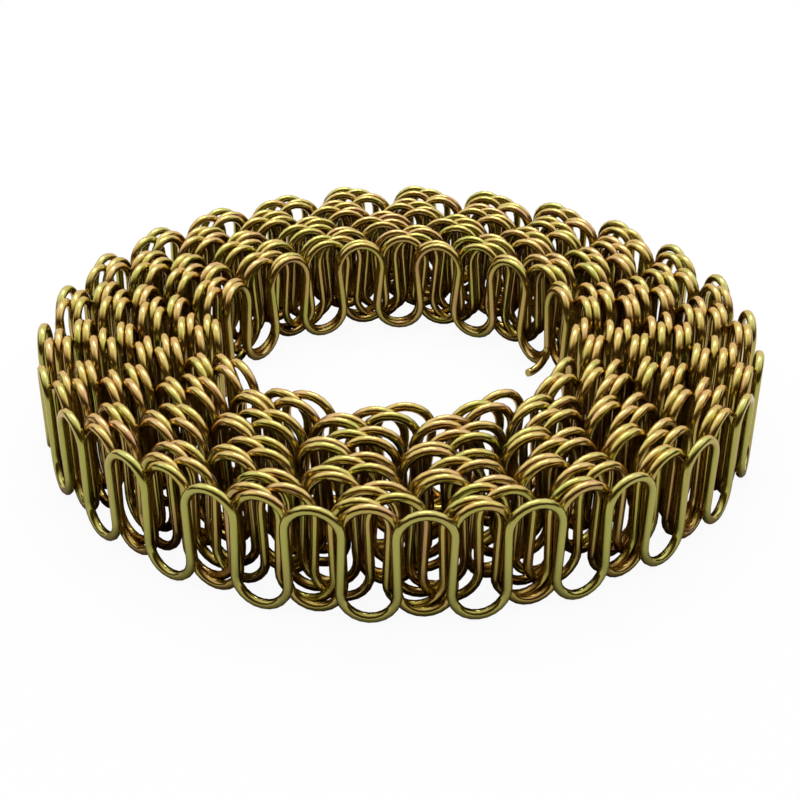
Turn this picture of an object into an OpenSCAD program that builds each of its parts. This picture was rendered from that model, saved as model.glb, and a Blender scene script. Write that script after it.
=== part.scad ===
// Zigzag spring: one round steel wire bent to and fro into a flat zigzag strip, and the strip wound
// into a roll that stands on its lower bends around an open hole. Millimetres, z up, front at -y.
// The strip is a chain of half waves. Each bend is an arc of a little more than half a circle, in a
// plane that touches the turn, and slanted legs join a lower bend to the next upper one.
// The bends are flat bars as wide as the wire is thick, and a little thinner towards the next turn.
// The legs are round rods of that smaller thickness. Together they weigh about as much as round wire.

/* [Wire] */
// thickness of the round wire
wire_d = 3.6; // [3:0.1:3.6]

/* [Strip] */
// height of the strip from the lowest bend to the highest
strip_h = 50; // [44:0.5:60]
// length of one full wave, measured along the strip
wave_length = 41.03; // [40:0.01:44]
// radius of the wire's middle line in the innermost bend
inner_bend_r = 11.4; // [10.6:0.1:11.5]
// radius of the wire's middle line in the outermost bend
outer_bend_r = 10.6; // [10.3:0.1:11.4]
// half waves from the inner end of the strip to its outer end, an even number
half_waves = 804; // [80:2:804]

/* [Roll] */
// radius of the roll at the inner end, from the axis to the wire
inner_r = 81.6; // [78:0.1:110]
// growth of the radius in one full turn
turn_step = 3.86; // [3.84:0.01:4.6]
// direction of the strip's inner end, seen from above, from +x towards +y
start_angle = -24.6; // [-180:0.1:180]

/* [Free end in the hole] */
// bend, counted from the inner end, whose leg carries the free end; an even number
free_end_bend = 4; // [2:2:40]
// angle by which the free end is turned from the strip's own direction into the hole
free_end_turn = 102; // [80:1:130]
// length of the free end, as an angle of its bend
free_end_arc = 96; // [60:1:120]

/* [Hidden] */
$fn = 72;
// thickness of the bends from turn to turn
bar_t = 0.89 * wire_d;
// a leg is slightly thinner than a bend, and its ends sink into the bends
leg_r = bar_t / 2 - 0.03;
sink = 0.3;
leg_gap = wave_length / 2;
step_per_radian = turn_step / (2 * PI);
// half waves fused in one group
group = 12;
// the outer end lies half a step further out at the back and right than at the front and left
roll_shift = -turn_step / 4;

// the strip's length is its distance along the spiral, so the angle grows more slowly further out
function angle_at(n) =
    start_angle
    + (sqrt(inner_r * inner_r + 2 * step_per_radian * n * leg_gap) - inner_r) / step_per_radian
    * 180 / PI;
function radius_at(n) = inner_r + step_per_radian * (angle_at(n) - start_angle) * PI / 180;
function side(n) = n % 2 == 0 ? -1 : 1;

// the bends are widest in the hole and narrow steadily to the outside
function bend_r(n) = inner_bend_r + (outer_bend_r - inner_bend_r) * n / half_waves;
// height of a bend's centre above or below mid-height
function bend_z(n) = (strip_h - wire_d) / 2 - bend_r(n);
// slant of the legs: the line that touches an upper bend on one side and the next lower on the other
function slant(n) =
    asin(2 * bend_r(n) / norm([leg_gap, 2 * bend_z(n)])) - atan(leg_gap / (2 * bend_z(n)));

// direction of the strip at a bend; the radius grows on the way, so it points slightly outwards
function heading(n) = angle_at(n) + 90 - atan(step_per_radian / radius_at(n));
function along(n) = [cos(heading(n)), sin(heading(n)), 0];
function bend_centre(n) = [
    radius_at(n) * cos(angle_at(n)),
    radius_at(n) * sin(angle_at(n)),
    strip_h / 2 + side(n) * bend_z(n)
];
// end of a bend, way 1 towards the outer end of the strip and -1 towards the inner end
function bend_end(n, way) =
    bend_centre(n)
    + way * bend_r(n) * cos(slant(n)) * along(n)
    - [0, 0, side(n) * bend_r(n) * sin(slant(n))];

// arc of a bend's bar, from one angle to another in the plane of the bend
module bent_bar(r, from_angle, to_angle)
    rotate([0, 0, from_angle])
        rotate_extrude(angle = to_angle - from_angle)
            translate([r, 0])
                square([wire_d, bar_t], center = true);

module bend(n, from_angle, to_angle)
    translate(bend_centre(n))
        rotate([90, 0, heading(n)])
            bent_bar(bend_r(n), from_angle, to_angle);

module whole_bend(n) {
    first = side(n) > 0 ? -slant(n) : 180 - slant(n);
    bend(n, first, first + 180 + 2 * slant(n));
}

module leg(n) {
    from = bend_end(n, 1);
    run = bend_end(n + 1, -1) - from;
    length = norm(run);
    translate(from)
        rotate([0, acos(run.z / length), atan2(run.y, run.x)])
            translate([0, 0, -sink])
                cylinder(h = length + 2 * sink, r = leg_r);
}

// half waves number first to last, each a bend and the leg that follows it
module stretch(first, last)
    union()
        for (n = [first : last]) {
            whole_bend(n);
            leg(n);
        }

// both ends of the strip stop half way through a lower bend
module inner_end() {
    bend(0, 270, 360 + slant(0));
    leg(0);
}

module outer_end()
    bend(half_waves, 180 - slant(half_waves), 270);

// the cut end seen in the hole: a lower bend that leaves its leg inwards and stops part-way
module free_end()
    translate(bend_end(free_end_bend, -1))
        rotate([90, 0, heading(free_end_bend) + free_end_turn])
            translate([bend_r(free_end_bend), 0, 0])
                bent_bar(bend_r(free_end_bend), 180, 180 + free_end_arc);

module zigzag_spring()
    color("goldenrod")
        translate([roll_shift, roll_shift, 0])
            union() {
                inner_end();
                for (first = [1 : group : half_waves - 1])
                    stretch(first, min(first + group, half_waves) - 1);
                outer_end();
                free_end();
            }

zigzag_spring();
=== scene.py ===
"""Looks for the roll of zigzag spring: its plated wire, a pale floor, a lamp, the room and the camera."""
import math

import bpy
import numpy as np
from mathutils import Matrix, Vector


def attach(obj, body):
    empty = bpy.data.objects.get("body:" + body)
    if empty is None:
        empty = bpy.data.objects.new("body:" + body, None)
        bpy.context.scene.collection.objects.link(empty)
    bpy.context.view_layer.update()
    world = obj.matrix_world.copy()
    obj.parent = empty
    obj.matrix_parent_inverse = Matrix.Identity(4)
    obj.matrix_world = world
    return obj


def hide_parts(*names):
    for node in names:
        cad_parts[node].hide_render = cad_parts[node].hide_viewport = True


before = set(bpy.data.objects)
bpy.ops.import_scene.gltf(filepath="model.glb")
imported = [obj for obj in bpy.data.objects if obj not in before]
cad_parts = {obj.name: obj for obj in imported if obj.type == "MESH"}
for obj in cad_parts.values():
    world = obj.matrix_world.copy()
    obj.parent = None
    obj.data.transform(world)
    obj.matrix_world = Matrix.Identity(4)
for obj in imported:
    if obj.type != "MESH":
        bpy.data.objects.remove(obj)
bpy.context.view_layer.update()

MM = 0.001

# The strip and the roll, in millimetres: the part's own values, except that the wire is 0.2 mm thicker.
# It looks thicker in the photograph, and the turns leave room for no more. The strip's height stays.
WIRE_D = 3.8
STRIP_H = 50.0
WAVE = 41.03
INNER_BEND_R = 11.4
OUTER_BEND_R = 10.6
HALF_WAVES = 804
INNER_R = 81.6
TURN_STEP = 3.86
START_ANGLE = math.radians(-24.6)
# The spiral's pole lies this far from the roll's middle along x and along y.
POLE = -TURN_STEP / 4
FREE_END_BEND = 4
FREE_END_TURN = math.radians(102)
FREE_END_ARC = math.radians(96)
# The free end starts this share of its arc inside the leg that it continues.
FREE_END_SINK = 0.02

STEP = TURN_STEP / (2 * math.pi)
LEG_GAP = WAVE / 2

# The wire's own mesh: flat sides round the wire, and lengths along each bend and the free end.
SIDES = 9
BEND_CUTS = 12
FREE_END_CUTS = 13
# A ring of a few flat sides is drawn this much larger, so that it holds as much as a round section.
SIDE_GAIN = math.sqrt(2 * math.pi / (SIDES * math.sin(2 * math.pi / SIDES)))
RING_R = WIRE_D / 2 * SIDE_GAIN

# Colours of the yellow film, in the order in which they drift into each other along the wire.
FILM = [
    (0.37, (0.34, 0.345, 0.044)),
    (0.45, (0.42, 0.335, 0.054)),
    (0.52, (0.46, 0.325, 0.068)),
    (0.60, (0.455, 0.290, 0.082)),
    (0.67, (0.43, 0.235, 0.095)),
]
# The outermost turn is greener. It starts between these two lengths along the wire, in metres.
OUTER_TURN_STARTS = (43.0, 44.5)
OUTER_TURN_GREEN = (0.355, 0.365, 0.060)
DRAWING_LINE = (0.16, 0.11, 0.025)
# At a grazing angle the film mirrors redder.
EDGE_TINT = (1.0, 0.68, 0.42)

# The floor. Its painted shade, a dark brown colour where the roll's shadow falls under the ring, is what
# the wire
# mirrors of it there: it fades out between the two radii outside the ring and between the two in the
# hole, in metres.
FLOOR_HALF = 4.0
FLOOR_COLOUR = (1.0, 1.0, 1.0)
FLOOR_LIFT = 0.93
PAINTED_SHADE_COLOUR = (0.075, 0.045, 0.03)
PAINTED_SHADE_OUTSIDE = (0.155, 0.182)
PAINTED_SHADE_IN_HOLE = (0.062, 0.090)

# The room that the wire mirrors, by degrees from the front horizon over the top to the back horizon:
# dark in front, cool and bright overhead.
ROOM = [
    (0, (0.37, 0.315, 0.24)),
    (7, (0.022, 0.010, 0.008)),
    (46, (0.022, 0.010, 0.008)),
    (66, (0.36, 0.31, 0.26)),
    (84, (0.61, 0.61, 0.66)),
    (112, (0.79, 0.83, 1.10)),
    (140, (0.61, 0.61, 0.68)),
    (180, (0.46, 0.42, 0.38)),
]
# Its walls at the left and right, how brightly it is mirrored, and the even light on what is matt.
ROOM_SIDES = (0.022, 0.010, 0.008)
ROOM_GAIN = 2.55
AMBIENT = 0.72

# The lamp behind and above the roll: where it hangs, its width and depth in metres, and its watts.
LAMP_PLACE = (0.0, 0.55, 1.2)
LAMP_SIZE = (0.7, 0.3)
LAMP_POWER = 6.0

# The camera, fitted to the bends of the inner and outer turns in the photograph: its focal length and
# the row of the picture's middle in pixels of a picture 800 wide, its angles, how many metres it stands
# away, and its sensor in millimetres.
PICTURE = 800
FOCAL_PIXELS = 1320.9
CENTRE_ROW = 357.7
CAMERA_LIFT = math.radians(27.915)
CAMERA_ROLL = 0.0085
CAMERA_AWAY = 0.6226
SENSOR = 36.0


def turned(distance):
    """Angle of the spiral at a distance along it. The radius grows by STEP a radian, so the distance is
    INNER_R times the angle plus half of STEP times its square, solved here for the angle."""
    return START_ANGLE + (np.sqrt(INNER_R**2 + 2 * STEP * distance) - INNER_R) / STEP


def radius(angle):
    """Radius of the spiral: INNER_R at the start, growing by STEP for every radian."""
    return INNER_R + STEP * (angle - START_ANGLE)


def bend_radius(n):
    """Radius of the wire's middle line in bend n, widest at the inner end and narrowing evenly."""
    return INNER_BEND_R + (OUTER_BEND_R - INNER_BEND_R) * n / HALF_WAVES


def bend_height(n):
    """Height of a bend's centre above or below mid-height: half the strip less wire and bend."""
    return STRIP_H / 2 - RING_R - bend_radius(n)


def slant(n):
    """Angle past a half circle at each end of bend n, where a straight leg touches both its bends."""
    rise = 2 * bend_height(n)
    return np.arcsin(2 * bend_radius(n) / np.hypot(LEG_GAP, rise)) - np.arctan(LEG_GAP / rise)


def flat_strip():
    """Middle line of the zigzag laid flat: distance along the strip, height, and the direction in that
    plane. Bend n stands at n half waves; its arc runs from one leg over a half circle and two slants to
    the next leg, up and over on odd bends and down and under on even ones."""
    n = np.arange(HALF_WAVES + 1, dtype=float)[:, None]
    part = np.linspace(0, 1, BEND_CUTS + 1)[None, :]
    first = np.where(n == 0, 0.5, 0.0)
    last = np.where(n == HALF_WAVES, 0.5, 1.0)
    part = first + (last - first) * part
    sweep = math.pi + 2 * slant(n)
    arc = math.pi + slant(n) - sweep * part
    up = np.where(n % 2 == 1, 1.0, -1.0)
    along = n * LEG_GAP + bend_radius(n) * np.cos(arc)
    height = STRIP_H / 2 + up * (bend_height(n) + bend_radius(n) * np.sin(arc))
    heading = np.arctan2(-up * np.cos(arc), np.sin(arc))
    return along.ravel(), height.ravel(), heading.ravel()


def rolled(along, height, heading):
    """Carries the flat strip onto the spiral. A point keeps its height and goes to the spiral's angle at
    its distance along the strip. Returns points, outward normals of the turn, and the in-turn direction
    square to the wire."""
    angle = turned(along)
    r = radius(angle)
    points = np.stack([POLE + r * np.cos(angle), POLE + r * np.sin(angle), height], 1)
    course = angle + math.pi / 2 - np.arctan(STEP / r)
    outward = np.stack([np.sin(course), -np.cos(course), np.zeros_like(r)], 1)
    forward = np.stack([np.cos(course), np.sin(course), np.zeros_like(r)], 1)
    side = forward * -np.sin(heading)[:, None] + np.array([0, 0, 1.0]) * np.cos(heading)[:, None]
    return points, outward, side


def tube(points, outward, side):
    """A round tube along points: each ring is the point plus RING_R times cos of the ring angle along
    outward plus sin of it along side, with a flat side turned outward. The last rings close on a middle
    point. Also returns, for each vertex, its place on the straightened wire: length so far, then its two
    offsets in the ring."""
    ring = np.linspace(0, 2 * math.pi, SIDES, endpoint=False) + math.pi / SIDES
    c, s = RING_R * np.cos(ring), RING_R * np.sin(ring)
    body = points[:, None] + c[None, :, None] * outward[:, None] + s[None, :, None] * side[:, None]
    length = np.concatenate([[0], np.cumsum(np.linalg.norm(np.diff(points, axis=0), axis=1))])
    straight = np.stack(np.broadcast_arrays(length[:, None], c[None, :], s[None, :]), 2)
    count = len(points)
    rows = np.arange(count - 1)[:, None] * SIDES
    here, ahead = np.arange(SIDES)[None, :], np.roll(np.arange(SIDES), -1)[None, :]
    quads = np.stack([rows + here, rows + SIDES + here, rows + SIDES + ahead, rows + ahead], 2)
    verts = np.concatenate([body.reshape(-1, 3), points[:1], points[-1:]])
    straight = np.concatenate([straight.reshape(-1, 3), [[0, 0, 0]], [[length[-1], 0, 0]]])
    start, end = count * SIDES, count * SIDES + 1
    tail = (count - 1) * SIDES
    near = np.stack(np.broadcast_arrays(here[0], ahead[0], start), 1)
    far = np.stack(np.broadcast_arrays(tail + here[0], end, tail + ahead[0]), 1)
    return verts, quads.reshape(-1, 4), np.concatenate([near, far]), straight


def free_end():
    """The cut end in the hole: an arc of a lower bend in an upright plane that is turned from the turn's
    own direction into the hole, starting down the leg it continues."""
    n = float(FREE_END_BEND)
    r = bend_radius(n)
    angle = turned(np.array([n * LEG_GAP - r * math.cos(slant(n))]))[0]
    leg_foot = STRIP_H / 2 - bend_height(n) + r * math.sin(slant(n))
    centre_r = radius(angle)
    start = np.array([POLE + centre_r * math.cos(angle), POLE + centre_r * math.sin(angle), leg_foot])
    course = angle + math.pi / 2 + FREE_END_TURN
    forward = np.array([math.cos(course), math.sin(course), 0])
    outward = np.array([math.sin(course), -math.cos(course), 0])
    arc = math.pi + FREE_END_ARC * np.linspace(-FREE_END_SINK, 1, FREE_END_CUTS + 1)[:, None]
    upright = np.array([0, 0, 1.0])
    points = start + forward * r + r * (np.cos(arc) * forward + np.sin(arc) * upright)
    side = -(np.cos(arc) * forward + np.sin(arc) * upright)
    return points, np.broadcast_to(outward, points.shape), side


def placed(name, data):
    """A new object in the scene with this mesh, lamp or camera."""
    obj = bpy.data.objects.new(name, data)
    bpy.context.scene.collection.objects.link(obj)
    return obj


def mesh_piece(name, tubes):
    """One mesh object from tubes, in metres, with each vertex's place on the straightened wire. The
    wire's sides are shaded smooth and its cut ends flat."""
    verts, faces, straight, smooth, count = [], [], [], [], 0
    for points, quads, tris, places in tubes:
        verts.append(points)
        straight.append(places)
        faces += (quads + count).tolist() + (tris + count).tolist()
        smooth += [True] * len(quads) + [False] * len(tris)
        count += len(points)
    mesh = bpy.data.meshes.new(name)
    mesh.from_pydata((np.concatenate(verts) * MM).tolist(), [], faces)
    place = mesh.attributes.new("straight_wire", "FLOAT_VECTOR", "POINT")
    place.data.foreach_set("vector", (np.concatenate(straight) * MM).astype(np.float32).ravel())
    mesh.polygons.foreach_set("use_smooth", smooth)
    mesh.update()
    return placed(name, mesh)


class Link:
    """A socket of a shader's nodes, with sums and products written as Python expressions."""

    def __init__(self, tree, socket):
        self.tree, self.socket = tree, socket

    def _math(self, operation, *values):
        return self.tree.node("ShaderNodeMath", {"operation": operation}, dict(enumerate(values)))

    def __add__(self, other):
        return self._math("ADD", self, other)

    def __sub__(self, other):
        return self._math("SUBTRACT", self, other)

    def __rsub__(self, other):
        return self._math("SUBTRACT", other, self)

    def __mul__(self, other):
        return self._math("MULTIPLY", self, other)

    def power(self, other):
        return self._math("POWER", self, other)

    __radd__, __rmul__ = __add__, __mul__


class Finish:
    """The nodes of a material or a world, empty at first."""

    def __init__(self, owner):
        self.owner = owner
        owner.use_nodes = True
        self.nodes, self.links = owner.node_tree.nodes, owner.node_tree.links
        self.nodes.clear()

    def node(self, kind, settings=None, inputs=None, outputs=(0,)):
        """Makes a node: its settings first, then its sockets' values or links. Returns the named outputs,
        or the one output where only one is named."""
        made = self.nodes.new(kind)
        for key, value in (settings or {}).items():
            if key == "stops":
                self.stops(made.color_ramp, value)
            else:
                setattr(made, key, value)
        for key, value in (inputs or {}).items():
            socket = made.inputs[key]
            if isinstance(value, Link):
                self.links.new(value.socket, socket)
            elif socket.type == "RGBA":
                socket.default_value = (*value, 1.0)
            else:
                socket.default_value = value
        named = [Link(self, made.outputs[key]) for key in outputs if made.outputs]
        return named[0] if len(named) == 1 else named

    def stops(self, ramp, stops):
        """Sets a ramp's stops from (place, colour) pairs."""
        while len(ramp.elements) < len(stops):
            ramp.elements.new(1.0)
        for element, (place, colour) in zip(ramp.elements, stops):
            element.position = place
            element.color = (*colour, 1.0)

    def stretched(self, where, *scale):
        """A place scaled along each of its axes."""
        return self.node("ShaderNodeMapping", {}, {"Vector": where, "Scale": scale})

    def noise(self, where, scale, detail=2.0, roughness=0.5):
        """Soft noise of this scale at a place, from 0 to 1."""
        return self.node("ShaderNodeTexNoise", {"noise_dimensions": "3D"}, {
            "Vector": where, "Scale": scale, "Detail": detail, "Roughness": roughness})

    def step(self, value, low, high, below, above):
        """A smooth step of value: below until low, above from high on."""
        return self.node("ShaderNodeMapRange", {"interpolation_type": "SMOOTHSTEP"}, {
            "Value": value, "From Min": low, "From Max": high, "To Min": below, "To Max": above})

    def mix(self, amount, first, second):
        """Colour mix of first and second by amount."""
        return self.node("ShaderNodeMix", {"data_type": "RGBA"}, {0: amount, 6: first, 7: second}, (2,))

    def rays(self, *kinds):
        """1 for rays of the named kinds, otherwise 0."""
        named = [self.node("ShaderNodeLightPath", outputs=(kind,)) for kind in kinds]
        return sum(named[1:], named[0])


def plated_wire():
    """Zinc plating with a yellow film: olive gold that drifts along the wire to green and to copper, a
    greener outermost turn, fine drawing lines along the wire, and a clear seal over it."""
    f = Finish(bpy.data.materials.new("yellow_zinc_plating"))
    straight = f.node("ShaderNodeAttribute", {"attribute_name": "straight_wire"}, outputs=(1,))
    place = f.node("ShaderNodeTexCoord", outputs=("Object",))
    length = f.node("ShaderNodeSeparateXYZ", {}, {0: straight})
    film = f.noise(f.stretched(straight, 1.0, 5.0, 5.0), 48.0, 3.0, 0.6)
    bath = f.noise(place, 30.0)
    tone = f.node("ShaderNodeValToRGB", {"stops": FILM}, {"Fac": film * 0.8 + bath * 0.2})
    outermost = f.step(length, *OUTER_TURN_STARTS, 0.0, 0.85)
    tone = f.mix(outermost * (1.15 - film * 0.5), tone, OUTER_TURN_GREEN)
    lines = f.noise(f.stretched(straight, 6.0, 260.0, 260.0), 9.0, 3.0, 0.6)
    colour = f.mix(lines * 0.25, tone, DRAWING_LINE)
    rough = lines * 0.08 + film * 0.06 + 0.12
    bump = f.node("ShaderNodeBump", {}, {"Strength": 0.05, "Distance": 0.1 * MM, "Height": lines})
    shader = f.node("ShaderNodeBsdfPrincipled", {}, {
        "Base Color": colour, "Metallic": 1.0, "Roughness": rough, "Normal": bump,
        "Specular Tint": EDGE_TINT, "Coat Weight": 0.7, "Coat Roughness": 0.08})
    f.node("ShaderNodeOutputMaterial", {}, {"Surface": shader})
    return f.owner


def floor_finish():
    """Plain white: a matt face that keeps the shadow, lifted towards white where it is seen. What the
    wire mirrors is this face too, with painted shade: dark brown close under the ring of the roll."""
    f = Finish(bpy.data.materials.new("floor_white"))
    place = f.node("ShaderNodeTexCoord", outputs=("Object",))
    x, y = f.node("ShaderNodeSeparateXYZ", {}, {0: place}, (0, 1))
    away = (x * x + y * y).power(0.5)
    open_floor = f.step(away, *PAINTED_SHADE_OUTSIDE, 0.0, 1.0) + f.step(away, *PAINTED_SHADE_IN_HOLE, 1.0, 0.0)
    # Painted shade: every ray but the camera's sees the floor dark brown close under the ring, where the
    # roll's shadow falls.
    painted_shade = f.mix(open_floor, PAINTED_SHADE_COLOUR, FLOOR_COLOUR)
    seen = f.mix(f.rays("Is Camera Ray"), painted_shade, FLOOR_COLOUR)
    matt = f.node("ShaderNodeBsdfDiffuse", {}, {"Color": seen})
    glow = f.node("ShaderNodeEmission", {}, {"Color": FLOOR_COLOUR, "Strength": 1.0})
    lift = f.rays("Is Camera Ray") * FLOOR_LIFT
    shader = f.node("ShaderNodeMixShader", {}, {0: lift, 1: matt, 2: glow})
    f.node("ShaderNodeOutputMaterial", {}, {"Surface": shader})
    return f.owner


def floor():
    """A flat square under the roll."""
    h = FLOOR_HALF
    mesh = bpy.data.meshes.new("floor")
    mesh.from_pydata([(-h, -h, 0), (h, -h, 0), (h, h, 0), (-h, h, 0)], [], [(0, 1, 2, 3)])
    mesh.materials.append(floor_finish())
    return placed("floor", mesh)


def room():
    """White where the camera sees it, and an even white light on what is matt. What shines mirrors the
    ROOM, by the angle over the top, with dark walls low at the left and right."""
    f = Finish(bpy.data.worlds.new("room"))
    bpy.context.scene.world = f.owner
    way = f.node("ShaderNodeTexCoord", outputs=("Generated",))
    y, z = f.node("ShaderNodeSeparateXYZ", {}, {0: way}, (1, 2))
    over = f.node("ShaderNodeMath", {"operation": "ARCTAN2"}, {0: z, 1: 0.0 - y}) * (1 / math.pi)
    arch = f.node("ShaderNodeValToRGB", {"stops": [(k / 180, c) for k, c in ROOM]}, {"Fac": over})
    aside = f.step(y * y, 0.10, 0.35, 1.0, 0.0) * f.step(z, 0.25, 0.65, 1.0, 0.0)
    gloss = f.mix(aside, arch, ROOM_SIDES)
    even = f.node("ShaderNodeBackground", {}, {"Color": (1, 1, 1), "Strength": AMBIENT})
    seen = f.node("ShaderNodeBackground", {}, {"Color": (1, 1, 1), "Strength": 1.0})
    mirrored = f.node("ShaderNodeBackground", {}, {"Color": gloss, "Strength": ROOM_GAIN})
    shining = f.rays("Is Glossy Ray", "Is Transmission Ray")
    light = f.node("ShaderNodeMixShader", {}, {0: shining, 1: even, 2: mirrored})
    shader = f.node("ShaderNodeMixShader", {}, {0: f.rays("Is Camera Ray"), 1: light, 2: seen})
    f.node("ShaderNodeOutputWorld", {}, {"Surface": shader})


def lamp():
    """A flat lamp, turned to the middle of the roll."""
    data = bpy.data.lights.new("lamp_top", "AREA")
    data.shape, data.energy = "RECTANGLE", LAMP_POWER
    data.size, data.size_y = LAMP_SIZE
    obj = placed("lamp_top", data)
    obj.location = LAMP_PLACE
    obj.rotation_euler = (-Vector(LAMP_PLACE)).to_track_quat("-Z", "Y").to_euler()


def camera():
    """The photograph's view: from the front and above, at the middle of the roll, and rolled slightly."""
    middle = np.array([0, 0, STRIP_H / 2]) * MM
    back = np.array([0, -math.cos(CAMERA_LIFT), math.sin(CAMERA_LIFT)])
    right, up = np.array([1.0, 0, 0]), np.array([0, math.sin(CAMERA_LIFT), math.cos(CAMERA_LIFT)])
    c, s = math.cos(CAMERA_ROLL), math.sin(CAMERA_ROLL)
    right, up = c * right + s * up, c * up - s * right
    data = bpy.data.cameras.new("photo_view")
    data.sensor_width = SENSOR
    data.lens = SENSOR * FOCAL_PIXELS / PICTURE
    data.shift_y = (CENTRE_ROW - PICTURE / 2) / PICTURE
    data.clip_start, data.clip_end = 0.05, 50.0
    obj = placed("photo_view", data)
    turn = Matrix(np.column_stack([right, up, back]).tolist()).to_4x4()
    obj.matrix_world = Matrix.Translation((middle + CAMERA_AWAY * back).tolist()) @ turn
    bpy.context.scene.camera = obj


wire = mesh_piece("spring_wire", [tube(*rolled(*flat_strip())), tube(*free_end())])
wire.data.materials.append(plated_wire())
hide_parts("zigzag_spring")
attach(wire, "root")

ground = floor()
room()
lamp()
camera()

bpy.context.scene.view_settings.view_transform = "Standard"
